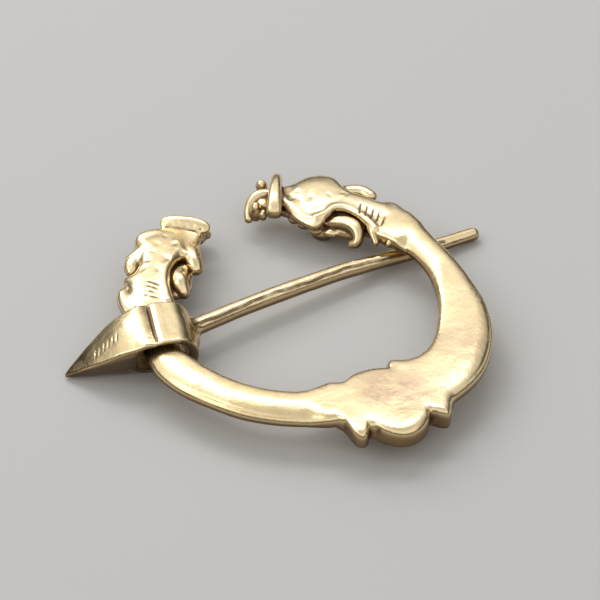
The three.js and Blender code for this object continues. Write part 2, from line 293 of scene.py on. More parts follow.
def surface(name, field, body, node, tint):
    """Makes the field's surface a mesh, with how hollow each vertex is and its tint, which holds stains and
    painted shade, as attributes.
    """
    field.even()
    mesh, triangles = polygons(name, field)
    piece = bpy.data.objects.new(name, mesh)
    bpy.context.scene.collection.objects.link(piece)
    if triangles > MOST_FACES:
        thin_out(piece, MOST_FACES / triangles)
    mesh = piece.data
    keep_largest(mesh)

    flat = np.zeros(len(mesh.vertices) * 3)
    mesh.vertices.foreach_get("co", flat)
    points = settled(field, flat.reshape(-1, 3))
    marks = {mark: field.read(field.blurred(size), points) for mark, size in HOLLOWS.items()}
    marks["tint"] = np.clip(tint(points), 0, 1)
    for mark, values in marks.items():
        layer = mesh.attributes.new(mark, "FLOAT", "POINT")
        layer.data.foreach_set("value", values.astype(np.float32))
    points[:, :2] += CENTRE
    mesh.vertices.foreach_set("co", (points * MM).ravel())
    mesh.shade_smooth()
    mesh.update()
    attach(piece, body)
    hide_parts(node)
    return piece


def polygons(name, field):
    """The surface as a mesh with a vertex for each cell that it crosses, and its count of triangles."""
    grid = openvdb.FloatGrid(NARROW)
    grid.copyFromArray(np.clip(field.d, -NARROW, NARROW).astype(np.float32))
    points, triangles, quads = grid.convertToPolygons(isovalue=0.0, adaptivity=0.0)
    points = np.asarray(points, float) * field.step + field.low
    mesh = bpy.data.meshes.new(name)
    faces = [*np.asarray(triangles).tolist(), *np.asarray(quads).tolist()]
    mesh.from_pydata(points.tolist(), [], faces)
    if signed_volume(mesh) < 0:
        mesh.flip_normals()
    return mesh, len(triangles) + 2 * len(quads)


def signed_volume(mesh):
    """Six times the mesh's volume, which is negative if its faces point inwards."""
    mesh.calc_loop_triangles()
    corners = np.zeros(len(mesh.loop_triangles) * 3, int)
    mesh.loop_triangles.foreach_get("vertices", corners)
    co = np.zeros(len(mesh.vertices) * 3)
    mesh.vertices.foreach_get("co", co)
    a, b, c = co.reshape(-1, 3)[corners.reshape(-1, 3)].transpose(1, 0, 2)
    return float((a * np.cross(b, c)).sum())


def thin_out(piece, ratio):
    """Merges faces where the surface is flattest, down to a share of their number."""
    thin = piece.modifiers.new("thin", "DECIMATE")
    thin.ratio = ratio
    thin.use_collapse_triangulate = True
    bpy.context.view_layer.objects.active = piece
    with bpy.context.temp_override(object=piece, active_object=piece, selected_objects=[piece]):
        bpy.ops.object.modifier_apply(modifier=thin.name)


def settled(field, points, longest=0.05, least_slope=0.3):
    """The points moved onto the field's surface, in two short steps."""
    slopes = np.gradient(field.d, field.step)
    for _ in range(2):
        slope = np.stack([field.read(s, points) for s in slopes], 1)
        steep = np.maximum((slope * slope).sum(1, keepdims=True), least_slope)
        step = np.clip(field.read(field.d, points)[:, None], -longest, longest)
        points = points - step * slope / steep
    return points


def keep_largest(mesh):
    """Drops any crumb that isn't joined to the main body."""
    edges = np.zeros(len(mesh.edges) * 2, int)
    mesh.edges.foreach_get("vertices", edges)
    edges = edges.reshape(-1, 2)
    group = np.arange(len(mesh.vertices))
    while True:
        low = np.minimum(group[edges[:, 0]], group[edges[:, 1]])
        new = group.copy()
        np.minimum.at(new, edges[:, 0], low)
        np.minimum.at(new, edges[:, 1], low)
        new = new[new]
        if (new == group).all():
            break
        group = new
    names, counts = np.unique(group, return_counts=True)
    if len(names) == 1:
        return
    edit = bmesh.new()
    edit.from_mesh(mesh)
    edit.verts.ensure_lookup_table()
    crumbs = [edit.verts[i] for i in np.flatnonzero(group != names[counts.argmax()])]
    bmesh.ops.delete(edit, geom=crumbs, context="VERTS")
    edit.to_mesh(mesh)
    edit.free()


# ---------------------------------------------------------------- the hoop

# Angle from the mask, inner edge, outer edge, crest, underside.
MASK_AND_ARMS = [
    [-119, 16.4, 20.5, 4.7, 3.1],
    [-115, 16.3, 20.7, 5.3, 3.0],
    [-111, 16.3, 20.8, 5.5, 3.0],
    [-102, 16.7, 20.8, 5.5, 3.0],
    [-93, 16.85, 20.8, 5.5, 3.0],
    [-86, 16.45, 21.0, 5.55, 2.95],
    [-76, 16.0, 20.8, 5.55, 2.9],
    [-64, 15.6, 20.3, 5.55, 2.9],
    [-50, 15.5, 20.1, 5.55, 3.0],
    [-38, 15.3, 20.0, 5.55, 3.0],
    [-27, 14.9, 20.0, 5.55, 3.1],
    [-21, 14.15, 20.3, 5.5, 3.2],
    [-17.4, 13.88, 20.5, 5.5, 3.3],
    [-15.9, 13.9, 21.1, 5.5, 3.4],
    [-14.6, 13.95, 22.7, 5.5, 3.5],
    [-12.8, 14.0, 23.6, 5.5, 3.5],
    [-10.8, 14.05, 23.4, 5.5, 3.5],
    [-9.3, 13.95, 22.5, 5.5, 3.4],
    [-7.8, 13.8, 22.6, 5.5, 3.2],
    [-5.9, 13.5, 23.6, 5.5, 3.0],
    [-3, 13.3, 24.7, 5.5, 2.9],
    [0.5, 13.25, 25.2, 5.5, 2.9],
    [4.5, 13.45, 24.9, 5.5, 2.8],
    [7.3, 13.75, 24.3, 5.5, 2.8],
    [9.6, 14.15, 23.7, 5.5, 2.8],
    [11, 14.35, 24.5, 5.5, 2.7],
    [12.4, 14.4, 25.1, 5.5, 2.7],
    [13.8, 14.08, 24.9, 5.5, 2.7],
    [16.2, 13.9, 24.1, 5.5, 2.8],
    [18, 14.15, 23.7, 5.5, 2.8],
    [21, 14.95, 23.7, 5.5, 2.8],
    [24, 15.55, 23.8, 5.5, 2.8],
    [30, 16.2, 23.9, 5.55, 2.8],
    [40, 16.3, 23.5, 5.55, 2.8],
    [50, 16.05, 22.8, 5.55, 2.8],
    [62, 16.0, 21.8, 5.55, 2.8],
    [75, 16.1, 20.75, 5.55, 2.9],
    [90, 16.3, 20.2, 5.55, 3.0],
    [102, 16.25, 20.4, 5.55, 3.0],
    [111, 16.0, 21.4, 5.55, 2.9],
    [115, 15.95, 21.7, 5.3, 3.0],
    [119, 16.1, 21.6, 4.7, 3.1],
]

# The heads are laid out flat: x from the collar to the muzzle, y from the middle outwards.
# Each row is x, inner edge, outer edge, crest, underside of the back plate.
RIGHT_BACK = [
    [-5, -3.3, 0.4, 4.6, 3.1],
    [-3.4, -3.6, 1.3, 5.35, 3.1],
    [-2, -3.75, 1.85, 5.5, 3.0],
    [0, -3.9, 2.4, 5.55, 3.1],
    [1, -3.75, 2.75, 5.55, 3.2],
    [1.8, -3.4, 2.6, 5.6, 3.3],
    [2.8, -3.0, 1.75, 5.6, 3.4],
    [4.2, -2.45, 1.85, 5.6, 3.4],
    [5.5, -2.0, 2.15, 5.6, 3.4],
    [6.7, -1.85, 2.55, 5.6, 3.4],
    [7.6, -2.1, 2.95, 5.55, 3.4],
    [8.2, -3.1, 3.6, 5.5, 3.4],
    [8.7, -4.3, 4.4, 5.45, 3.4],
    [9.4, -4.85, 5.15, 5.4, 3.4],
    [10.4, -4.75, 5.3, 5.35, 3.4],
    [11.4, -4.3, 5.0, 5.3, 3.4],
    [12.4, -3.7, 4.35, 5.2, 3.4],
    [13.4, -2.9, 3.4, 5.1, 3.3],
    [14.4, -2.3, 2.5, 5.0, 3.2],
    [15.4, -2.1, 2.1, 4.8, 3.1],
    [16.4, -1.9, 2.0, 4.4, 3.0],
    [17.4, -1.4, 1.5, 3.9, 3.1],
]
LEFT_BACK = [
    [-5, -3.2, 0.3, 4.6, 3.1],
    [-3.4, -3.4, 0.8, 5.35, 3.1],
    [-2, -3.6, 1.0, 5.5, 3.0],
    [0, -3.8, 1.3, 5.55, 3.1],
    [1.2, -3.75, 1.5, 5.55, 3.2],
    [2.5, -3.35, 2.0, 5.6, 3.3],
    [3.5, -3.05, 2.45, 5.6, 3.4],
    [4.4, -2.8, 2.35, 5.6, 3.4],
    [5.5, -2.55, 2.1, 5.6, 3.4],
    [6.8, -2.2, 2.0, 5.6, 3.4],
    [8.1, -2.0, 2.05, 5.6, 3.4],
    [9.3, -2.05, 2.3, 5.55, 3.4],
    [10.1, -2.4, 2.8, 5.5, 3.4],
    [10.8, -3.1, 3.9, 5.45, 3.4],
    [11.5, -3.8, 4.5, 5.35, 3.4],
    [12.4, -3.75, 4.35, 5.25, 3.4],
    [13.3, -3.35, 3.5, 5.25, 3.3],
    [14.2, -3.05, 2.4, 5.2, 3.2],
    [15, -2.9, 2.0, 5.15, 3.1],
    [16, -2.3, 1.6, 4.7, 3.0],
    [17.2, -1.4, 1.2, 3.8, 3.1],
]
# The mass of each head under its back plate, with the carved front.
FRONT_MASS = [
    [-5, -2.3, 0.6, 3.6, 2.9],
    [-1, -3.0, 1.3, 4.0, 2.6],
    [2, -3.0, 2.1, 4.2, 2.3],
    [5, -2.9, 2.7, 4.2, 2.1],
    [8, -3.1, 3.1, 4.2, 1.8],
    [10, -3.0, 3.2, 4.2, 1.7],
    [12, -2.4, 2.7, 4.1, 2.0],
    [14, -2.0, 2.1, 4.0, 2.4],
    [16, -1.9, 2.0, 4.0, 2.5],
    [18, -1.7, 1.8, 3.8, 2.4],
    [19.2, -1.1, 1.2, 3.5, 2.6],
]

PLANED = 0.35  # how far a bar's rounded back stands above its crest, before it is planed off


def section_field(field, plan, rows, box, power, waist, fillet, bevel=None, arch=0.0, blocky=None):
    """A bar whose edges and heights follow rows along a plan's first coordinate.

    power is how square its section is, and waist the height where it is widest. arch rounds its back across,
    bevel slopes its edges off, and blocky gives it squarer, upright walls in places.
    """
    rows = np.asarray(rows, float)

    def distance(u, v, w):
        inner, outer, crest, under = (curve(rows[:, 0], rows[:, c], u) for c in range(1, 5))
        middle, half = (inner + outer) / 2, (outer - inner) / 2
        # A blocky place has a lower waist, a squarer section and sharper edges.
        share = blocky(u) if blocky else 0
        mid = waist - 0.9 * share
        above = crest + PLANED * (1 - share) + 0.1 * share - mid
        below = mid - under + 0.5 * share
        shape = superellipse(v - middle, w - mid, half, np.where(w > mid, above, below), power + 2.4 * share)
        shape = smooth_max(shape, w - crest + arch * (v - middle) ** 2, 0.55 - 0.25 * share)
        if bevel is not None:
            shape = bevel(shape, u, v - middle, w, half)
        ends = np.maximum(rows[0, 0] - u, u - rows[-1, 0])
        return np.maximum(shape, ends)

    field.put(plan, *box, distance, fillet)


def mask_share(angle):
    """One over the mask, which has upright walls, and none along the arms."""
    return np.clip((19 - np.abs(angle)) / 5, 0, 1)


def lifted(past, fade, height):
    """How far a bevel's plane is lifted clear of the metal, so many degrees past the place where it ends."""
    return height * np.clip(past / fade, 0, 1) ** 2


def arm_bevel(shape, angle, across, height, half):
    """The arms' backs slope down to their outer edges, and the right one near its head to its inner edge too.

    Each plane rises by so much across the arm, from a share of its half width, and the factor after it turns
    heights into distances from the plane.
    """
    above = height - BACK_HEIGHT
    outer = above + 0.5 * (across - 0.3 * half)
    rim = above + 0.4 * (across - 0.72 * half)
    inner = above - 0.55 * (across + 0.25 * half)
    shape = smooth_max(shape, outer * 0.89 - lifted(29 + angle, 14, 3), 0.6)
    shape = smooth_max(shape, rim * 0.93 - lifted(31 - angle, 14, 3), 0.4)
    return smooth_max(shape, inner * 0.88 - lifted(90 - angle, 30, 2), 0.5)


def lay_out(field):
    """The plans of the hoop: round its arc in degrees and millimetres, and along each head.

    Each one is valid only near its own part of the hoop.
    """
    x, y = field.x, field.y
    radius = np.hypot(x, y)
    angle = np.degrees(np.arctan2(x, -y))
    field.plans["arc"] = (angle, radius, np.abs(angle) < 122)
    limit = math.radians(STRAIGHT_FROM)
    for name, side in (("right", 1), ("left", -1)):
        run = side * x * math.cos(limit) + y * math.sin(limit)
        out = side * x * math.sin(limit) - y * math.cos(limit)
        straight = run > 0
        on_arc = AXIS_RADIUS * np.radians(side * angle - HEAD_ROOT)
        beyond = run + AXIS_RADIUS * (limit - math.radians(HEAD_ROOT))
        along = np.where(straight, beyond, on_arc)
        outward = np.where(straight, out, radius) - AXIS_RADIUS
        field.plans[name] = (along, outward, (side * x > -0.5) & (y > -2) & (np.abs(outward) < 7))


def lip_plate(field, plan, centre, half_width, low, high, thickness, yaw, lean, wedge):
    """The raised lip across a muzzle, thicker towards its inner end by wedge."""
    cx, cy = centre
    c, s = math.cos(math.radians(yaw)), math.sin(math.radians(yaw))
    middle, tall = (low + high) / 2, (high - low) / 2

    def distance(u, v, w):
        along = c * (u - cx) + s * (v - cy) - lean * (w - middle)
        across = c * (v - cy) - s * (u - cx)
        oval = superellipse(across, w - middle, half_width, tall, 2.2)
        thick = (thickness - wedge * np.clip(across / half_width, -1, 1)) / 2
        return smooth_max(oval, np.abs(along) - thick, 0.75)

    reach = half_width + 0.5
    box = (cx - reach / 2, cy - reach, low), (cx + reach / 2, cy + reach, high)
    field.put(plan, *box, distance, 0.3)


def muzzle(field, plan, spread=1.0, drop=0.0):
    """The snout beyond the lip plate: a thick ridge that curls down between two nostrils."""
    field.egg(plan, (17.2, 0.0, 3.0 - drop), (1.6, 1.7 * spread, 1.1), 0.4)
    ridge = [
        (16.2, 0.9, 4.0, 0.65),
        (17.2, 0.75, 4.0, 0.78),
        (18.15, 0.25, 3.8, 0.8),
        (18.7, -0.7, 3.4, 0.7),
        (18.8, -1.7, 2.9, 0.62),
        (18.6, -2.5, 2.3, 0.58),
    ]
    field.rope(plan, [(x, y * spread, z - drop, r) for x, y, z, r in ridge], 0.15)
    field.egg(plan, (18.1, 2.6 * spread, 3.75 - 2 * drop), (0.8, 0.68, 0.85), 0.15)
    field.rope(plan, [(16.9, 2.0 * spread, 3.2 - drop, 0.6), (18.2, 2.3 * spread, 3.1 - drop, 0.5)], 0.2)
    field.egg(plan, (17.75, -2.1 * spread, 3.3 - drop), (0.84, 0.9, 1.5), 0.1)
    field.egg(plan, (16.8, -2.2 * spread, 3.0 - drop), (0.6, 0.7, 0.8), 0.15)
    groove = [(16.8, 1.75, 3.9, 0.16), (17.6, 1.7, 3.9, 0.2), (18.5, 1.3, 3.7, 0.18)]
    field.rope(plan, [(x, y * spread, z - drop, r) for x, y, z, r in groove], 0.12, carve=True)


def carved_front(field, plan):
    """The head's front, which the brooch lies on: eyes, brow, nose and cheeks."""
    for side in (-1, 1):
        field.egg(plan, (9.2, side * 1.7, 1.25), (1.4, 1.15, 1.25), 0.3)
        brow = [(11.2, side * 1.0, 1.9, 0.3), (9.8, side * 0.6, 1.4, 0.35), (8, side * 0.9, 1.5, 0.3)]
        field.rope(plan, brow, 0.3)
        field.egg(plan, (11.5, side * 2.1, 2.5), (0.8, 0.65, 0.75), 0.2)
        field.egg(plan, (12.9, side * 1.8, 2.7), (0.65, 0.5, 0.6), 0.2)
        field.egg(plan, (7.4, side * 2.6, 2.5), (0.9, 0.75, 0.8), 0.25)
        field.egg(plan, (5.6, side * 2.7, 2.6), (0.8, 0.65, 0.6), 0.25)
        lid = [(7.6, side * 2.3, 1.3, 0.14), (8.4, side * 1.1, 0.75, 0.15), (10.3, side * 1.1, 0.75, 0.13)]
        field.rope(plan, lid, 0.12, carve=True)
    field.rope(plan, [(7.0, 0, 1.9, 0.5), (10, 0, 1.8, 0.5), (13, 0, 2.3, 0.55), (15.6, 0, 2.6, 0.6)], 0.3)
    field.rope(plan, [(1.0, -0.4, 2.6, 0.5), (3.5, 0, 2.3, 0.6), (6.5, 0, 2.0, 0.5)], 0.35)


def right_head(field):
    plan = "right"
    plate = {"half_width": 3.95, "low": 3.3, "high": 6.6, "thickness": 1.65, "wedge": 0.3}
    lip_plate(field, plan, (15.6, -0.35), **plate, yaw=-9.5, lean=0.0)
    muzzle(field, plan)
    # The recess round the curl, its raised rim, and the little fingers that end the rim.
    recess = [
        (8.3, -3.3, 4.6, 0.4),
        (7.6, -2.35, 4.85, 0.46),
        (6.3, -2.1, 4.95, 0.46),
        (4.7, -2.4, 4.9, 0.46),
        (3.1, -3.1, 4.75, 0.44),
        (2.0, -4.1, 4.4, 0.4),
        (1.6, -4.9, 3.8, 0.34),
    ]
    field.rope(plan, recess, 0.12, carve=True)
    rim = [
        (9.6, -3.6, 5.05, 0.45),
        (8.5, -2.6, 5.2, 0.5),
        (7.7, -1.45, 5.3, 0.5),
        (6.4, -1.2, 5.35, 0.48),
        (4.6, -1.6, 5.3, 0.48),
        (2.8, -2.3, 5.25, 0.5),
        (0.8, -3.2, 5.1, 0.5),
    ]
    field.rope(plan, rim, 0.5)
    field.rope(plan, [(1.6, -3.2, 4.9, 0.5), (0.6, -3.9, 4.6, 0.45), (-0.4, -4.4, 4.1, 0.46)], 0.2)
    field.egg(plan, (-2.3, -3.8, 4.2), (0.42, 0.42, 0.5), 0.2)
    # The inner ear is a thick curl in the recess, and the outer one a lobe.
    field.egg(plan, (5.4, -3.0, 3.1), (2.6, 1.1, 1.0), 0.4)
    curl = [
        (8.0, -3.0, 4.0, 0.55),
        (6.9, -2.95, 4.3, 0.8),
        (5.4, -3.0, 4.4, 0.94),
        (3.9, -3.45, 4.3, 0.96),
        (2.9, -4.3, 3.9, 0.86),
        (2.8, -5.05, 3.5, 0.7),
        (3.6, -5.35, 3.2, 0.5),
    ]
    field.rope(plan, curl, 0.18)
    crease = [(6.4, -3.95, 4.3, 0.1), (5.0, -4.2, 4.3, 0.12), (4.1, -4.6, 4.0, 0.1)]
    field.rope(plan, crease, 0.15, carve=True)
    field.egg(plan, (7.6, -3.9, 3.1), (1.1, 0.6, 0.6), 0.3)
    field.egg(plan, (9.6, -4.1, 3.3), (0.8, 0.55, 0.6), 0.2)
    lobe = [(8.0, 2.9, 4.0, 0.6), (7.0, 3.55, 4.15, 0.85), (5.7, 3.85, 4.2, 0.9), (4.6, 3.5, 4.1, 0.8)]
    field.rope(plan, lobe, 0.15, flat=0.85)
    groove = [(8.1, 3.0, 5.0, 0.18), (6.6, 2.75, 5.0, 0.26), (5.0, 2.4, 4.95, 0.26), (3.9, 2.5, 4.8, 0.2)]
    field.rope(plan, groove, 0.12, carve=True)
    field.rope(plan, [(7.6, 3.3, 4.9, 0.1), (6.4, 3.6, 5.1, 0.12), (5.0, 3.5, 5.0, 0.1)], 0.1, carve=True)
    # The neck: a bright fold that falls away to the jaw, with a hollow under it.
    fold = [
        (15.0, -0.7, 4.75, 0.5),
        (13.9, -1.2, 4.85, 0.5),
        (12.9, -2.0, 4.75, 0.48),
        (11.9, -3.0, 4.5, 0.45),
    ]
    field.rope(plan, fold, 0.7)
    hollow = [(14.6, -2.1, 4.6, 0.26), (14.0, -2.6, 4.4, 0.32), (13.2, -3.4, 4.0, 0.3)]
    field.rope(plan, hollow, 0.3, carve=True)
    field.rope(plan, [(12.4, -2.9, 4.4, 0.4), (10.9, -3.5, 4.6, 0.42), (9.3, -4.0, 4.7, 0.42)], 0.4)
    field.egg(plan, (9.9, -2.3, 5.75), (1.0, 0.7, 0.5), 0.4, turn=-10, carve=True)
    field.egg(plan, (10.2, 1.3, 4.75), (3.2, 3.3, 0.95), 0.9)
    field.egg(plan, (4.6, 0.2, 4.95), (3.6, 1.4, 0.78), 0.8)


def left_head(field):
    plan = "left"
    plate = {"half_width": 3.2, "low": 4.6, "high": 6.15, "thickness": 1.2, "wedge": 0.1}
    lip_plate(field, plan, (15.55, -0.5), **plate, yaw=9.5, lean=0.85)
    muzzle(field, plan, spread=0.8, drop=0.5)
    # The plate's face is worn and pitted. The pits follow its lean and its yaw.
    for y, z in ((-2.7, 5.85), (-1.7, 6.05), (-0.7, 5.9), (0.2, 6.1), (1.0, 5.9), (1.8, 6.05)):
        x = 14.38 + 0.85 * (z - 5.5) - 0.17 * y
        field.egg(plan, (x, y, z), (0.5, 0.7, 0.5), 0.15, carve=True)
    # The recess, the finger that hooks over its end, and the ridges that part in a Y above it.
    recess = [
        (9.9, -2.9, 4.9, 0.32),
        (9.1, -2.3, 5.0, 0.32),
        (7.9, -2.25, 5.05, 0.29),
        (6.5, -2.45, 5.05, 0.29),
        (4.9, -2.9, 4.9, 0.3),
        (3.6, -3.5, 4.7, 0.3),
        (2.6, -4.3, 4.1, 0.3),
    ]
    field.rope(plan, recess, 0.12, carve=True)
    hook = [
        (12.6, -2.3, 4.2, 1.05),
        (11.5, -3.0, 4.35, 1.15),
        (10.6, -3.6, 4.35, 1.08),
        (10.0, -4.1, 4.2, 0.96),
        (9.7, -4.35, 4.05, 0.85),
    ]
    field.rope(plan, hook, 0.3)
    field.rope(plan, [(12.0, -0.9, 5.15, 0.4), (11.2, -1.7, 5.2, 0.38), (10.6, -2.5, 5.15, 0.32)], 0.45)
    rim = [
        (10.6, -1.4, 5.25, 0.45),
        (9.0, -1.3, 5.35, 0.48),
        (7.0, -1.4, 5.35, 0.48),
        (5.0, -1.8, 5.3, 0.48),
        (3.0, -2.4, 5.25, 0.5),
        (1.0, -2.9, 5.1, 0.55),
    ]
    field.rope(plan, rim, 0.5)
    # A lobe with a knob hangs in the recess inside, and a double lobe lies outside.
    field.egg(plan, (6.6, -3.4, 3.4), (2.8, 1.3, 1.0), 0.4)
    lobe = [
        (8.9, -3.0, 4.15, 0.7),
        (7.9, -3.0, 4.3, 0.92),
        (6.8, -3.2, 4.35, 1.05),
        (5.7, -3.65, 4.2, 1.08),
        (4.7, -4.3, 3.7, 0.8),
    ]
    field.rope(plan, lobe, 0.12)
    field.egg(plan, (6.5, -3.6, 4.75), (1.0, 0.7, 0.62), 0.3, turn=25)
    field.egg(plan, (6.9, -4.0, 3.3), (1.6, 0.8, 0.8), 0.4, turn=15)
    field.egg(plan, (8.3, 2.5, 3.9), (1.9, 1.3, 0.85), 0.3)
    field.rope(plan, [(9.9, 2.5, 4.2, 0.5), (9.0, 3.1, 4.25, 0.76), (8.1, 3.55, 4.25, 0.86)], 0.15)
    field.rope(plan, [(8.2, 3.2, 4.2, 0.8), (7.3, 3.35, 4.15, 0.86), (6.6, 2.95, 4.05, 0.7)], 0.12)
    groove = [(9.8, 2.4, 5.0, 0.24), (8.5, 2.45, 5.1, 0.3), (7.2, 2.3, 5.05, 0.3), (6.1, 2.4, 4.8, 0.25)]
    field.rope(plan, groove, 0.12, carve=True)
    field.rope(plan, [(9.3, 3.0, 5.0, 0.1), (8.4, 3.2, 5.15, 0.12), (7.6, 3.9, 4.8, 0.1)], 0.1, carve=True)
    knob = [(13.2, 2.2, 4.85, 0.5), (12.5, 3.2, 4.9, 0.62), (11.6, 3.7, 4.75, 0.68), (10.9, 3.65, 4.35, 0.56)]
    field.rope(plan, knob, 0.3)
    field.egg(plan, (10.5, 3.1, 4.3), (0.5, 0.8, 0.7), 0.2, carve=True)
    field.egg(plan, (4.5, 2.25, 4.5), (0.8, 0.9, 0.7), 0.6)
    roll = [(3.2, 2.3, 4.3, 0.6), (2.3, 2.65, 4.35, 0.86), (1.0, 2.25, 4.3, 0.9), (-0.4, 1.7, 4.2, 0.7)]
    field.rope(plan, roll, 0.3)
    field.egg(plan, (1.2, 1.4, 4.6), (1.8, 0.8, 0.7), 0.3)
    field.egg(plan, (10.6, 0.9, 4.75), (3.4, 2.9, 0.9), 0.9)
    field.egg(plan, (4.6, 0.1, 4.95), (3.6, 1.5, 0.76), 0.8)


def score(field, plan, places, depth, width, fillet=0.05, fade=0.5):
    """A fine cut along places of a plan, which follows the surface. It runs out where fade is over one."""
    tops = np.array([field.top(plan, a, b) for a, b in places])
    if len(places) > 8:  # a long cut runs evenly, over the steps of the grid
        tops = np.convolve(np.pad(tops, 2, "edge"), np.array([1, 2, 3, 2, 1]) / 9, "valid")
    ends = np.abs(np.linspace(-1, 1, len(places)))
    heights = tops + width - depth * (1 - fade * ends * ends)
    field.rope(plan, [(a, b, z, width) for (a, b), z in zip(places, heights)], fillet, carve=True, per_span=2)


def strokes(field, plan, start, step, count, stroke, depth=0.14, width=0.1):
    """A row of short shallow cuts."""
    for i in range(count):
        x, y = start[0] + i * step[0], start[1] + i * step[1]
        places = [(x + share * stroke[0], y + share * stroke[1]) for share in (-0.5, -0.17, 0.17, 0.5)]
        score(field, plan, places, depth, width)


def dents(field, plan, seed, count, low, high):
    """Small shallow knocks, scattered over the back between two corners of a plan."""
    random = np.random.default_rng(seed)
    for _ in range(count):
        a, b = random.uniform(low, high)
        size, depth = random.uniform(0.5, 1.2), random.uniform(0.015, 0.045)
        centre = (a, b, field.top(plan, a, b) + 0.5 * size - depth)
        field.egg(plan, centre, (size, 0.6 * size, 0.5 * size), 0.2, turn=90 * a, carve=True)


def mask_front(field):
    """The mask's front, which nothing shows: a beast's snout, eyes, brows and ears, kept plain."""

    def egg(angle, radius, z, around, outward, high, fillet=0.35, carve=False):
        x, y = on_hoop(angle, radius)
        field.egg("plain", (x, y, z), (around, outward, high), fillet, turn=angle, carve=carve)

    egg(0.5, 19.3, 2.1, 2.0, 2.0, 2.2, 0.6)
    egg(0.5, 22.4, 2.9, 1.7, 1.6, 0.8, 0.5)
    for side in (-1, 1):
        egg(side * 8.5, 17.6, 2.9, 1.3, 1.3, 1.4)
        egg(side * 8.5, 17.6, 1.5, 0.75, 0.75, 0.3, 0.15, carve=True)
        egg(side * 12.5, 20.4, 3.3, 1.0, 2.0, 1.0)
        egg(side * 12.5, 20.6, 2.2, 0.4, 1.2, 0.4, 0.2, carve=True)
        egg(side * 15, 16.4, 3.1, 2.4, 0.9, 1.0)
        egg(side * 3.5, 21.2, 1.7, 0.45, 0.6, 0.4, 0.15, carve=True)
    # A groove runs along the middle of each arm's front.
    for side in (-1, 1):
        ends = ((25, 18.4, 2.7), (45, 18.6, 2.7), (75, 18.5, 2.75))
        line = [(*on_hoop(side * angle, radius), z, 0.2) for angle, radius, z in ends]
        field.rope("plain", line, 0.2, carve=True, per_span=10)


HOOP_BOX = ((-22.2, -26.4, -0.5), (21.6, 25.8, 7.4))
STAINS = [(5.5, 18.6, 7, 1.0), (40, 20, 5, 0.5)]  # angle, radius, reach and strength


def stained(points):
    """How stained the hoop's back is: most in the middle of the mask, and less on the right arm."""
    found = []
    for angle, radius, reach, strength in STAINS:
        x, y = on_hoop(angle, radius)
        away = np.hypot(points[:, 0] - x, points[:, 1] - y)
        found.append(strength * (1 - soft_step(away, 0.5, reach)))
    return np.max(found, 0)


def hoop():
    field = Field(*HOOP_BOX, VOXEL_HOOP)
    lay_out(field)
    arc_box = ((-120, 13, 0.8), (120, 27, 6))
    head_box = ((-5, -6, 0.8), (20, 6, 6.5))
    forms = {"bevel": arm_bevel, "blocky": mask_share}
    section_field(field, "arc", MASK_AND_ARMS, arc_box, 2.6, WIDEST_HEIGHT, 0.01, **forms)
    for plan, rows in (("right", RIGHT_BACK), ("left", LEFT_BACK)):
        section_field(field, plan, rows, head_box, 2.6, WIDEST_HEIGHT, 0.5, arch=0.018)
        section_field(field, plan, FRONT_MASS, head_box, 2.4, 3.4, 0.3)
        carved_front(field, plan)
    right_head(field)
    left_head(field)
    mask_front(field)
    # Fine lines inside the outer edges of the arms, and two old scratches.
    edges = np.asarray(MASK_AND_ARMS, float)
    for first, last in ((-86, -30), (20, 62)):
        line = [(a, curve(edges[:, 0], edges[:, 2], a) - 0.4) for a in np.linspace(first, last, 24)]
        score(field, "arc", line, 0.07, 0.16, 0.1, 1.2)
    score(field, "arc", [(64, 20.6), (65.5, 21.0), (67, 21.2)], 0.06, 0.07)
    score(field, "arc", [(68, 20.2), (69, 20.7), (71, 20.8)], 0.05, 0.07)
    dents(field, "right", 11, 10, (6.2, -1.2), (13.5, 1.5))
    dents(field, "left", 12, 9, (5.4, -1.4), (13.3, 1.4))
    # Rows of shallow strokes where the heads' backs are marked.
    strokes(field, "right", (0.4, -1.7), (0.95, 0.14), 5, (0.55, 1.9))
    strokes(field, "left", (1.2, -0.9), (0.8, 0.05), 4, (0.3, 1.7))
    field.unevenness(3, [(0.08, 10), (0.03, 4.6), (0.008, 2.1)])
    field.foot()
    return surface("hoop_cast", field, "hoop", "hoop", stained)


# ---------------------------------------------------------------- the pin

# Along the tongue from the hinge, half width, top, underside.
TONGUE = [
    [0.8, 3.64, 6.4, 0.3],
    [1.6, 3.64, 6.4, 0.3],
    [2.2, 3.63, 6.32, 0.3],
    [2.9, 3.6, 6.14, 0.3],
    [4.0, 3.4, 5.76, 0.3],
    [4.9, 3.18, 5.32, 0.3],
    [6.1, 2.8, 4.55, 0.3],
    [7.3, 2.3, 3.72, 0.25],
    [8.5, 1.75, 2.86, 0.2],
    [9.9, 1.0, 1.75, 0.1],
    [10.8, 0.55, 1.05, 0.0],
    [11.35, 0.2, 0.55, 0.0],
]
# The shaft's middle line round the hoop's centre, and its radius.
SHAFT = [
    [-14.6, 4.0, 3.4, 1.1],
    [-12.4, 4.2, 3.4, 1.1],
    [-5.0, 4.9, 3.1, 1.08],
    [2.2, 5.35, 2.7, 1.06],
    [8.1, 5.6, 2.3, 1.02],
    [12.5, 5.55, 1.95, 0.98],
    [17.0, 5.4, 1.6, 0.95],
    [22.5, 5.3, 1.25, 0.9],
    [27.15, 5.4, 0.9, 0.84],
]

PIN_BOX = ((-30.2, -1.4, -0.5), (29.4, 9.6, 7.5))
ROOM = 0.03  # the band is thinner than its solid by this, so that it stays inside it
HOLE_END = 2.95  # the hole's flat end, from the hinge towards the tongue
HALF_BAND = 3.7  # just past the band's edges


def hole_distance(u, z):
    """The distance to the oval hole that the arm passes through."""
    return superellipse(u, z, HOLE_HALF_WIDTH, HOLE_HALF_HEIGHT, HOLE_SQUARENESS)


def ripple(u, middle, width):
    """One at the middle of a soft fold along the band, fading away over its width."""
    return np.exp(-(((u - middle) / width) ** 2))


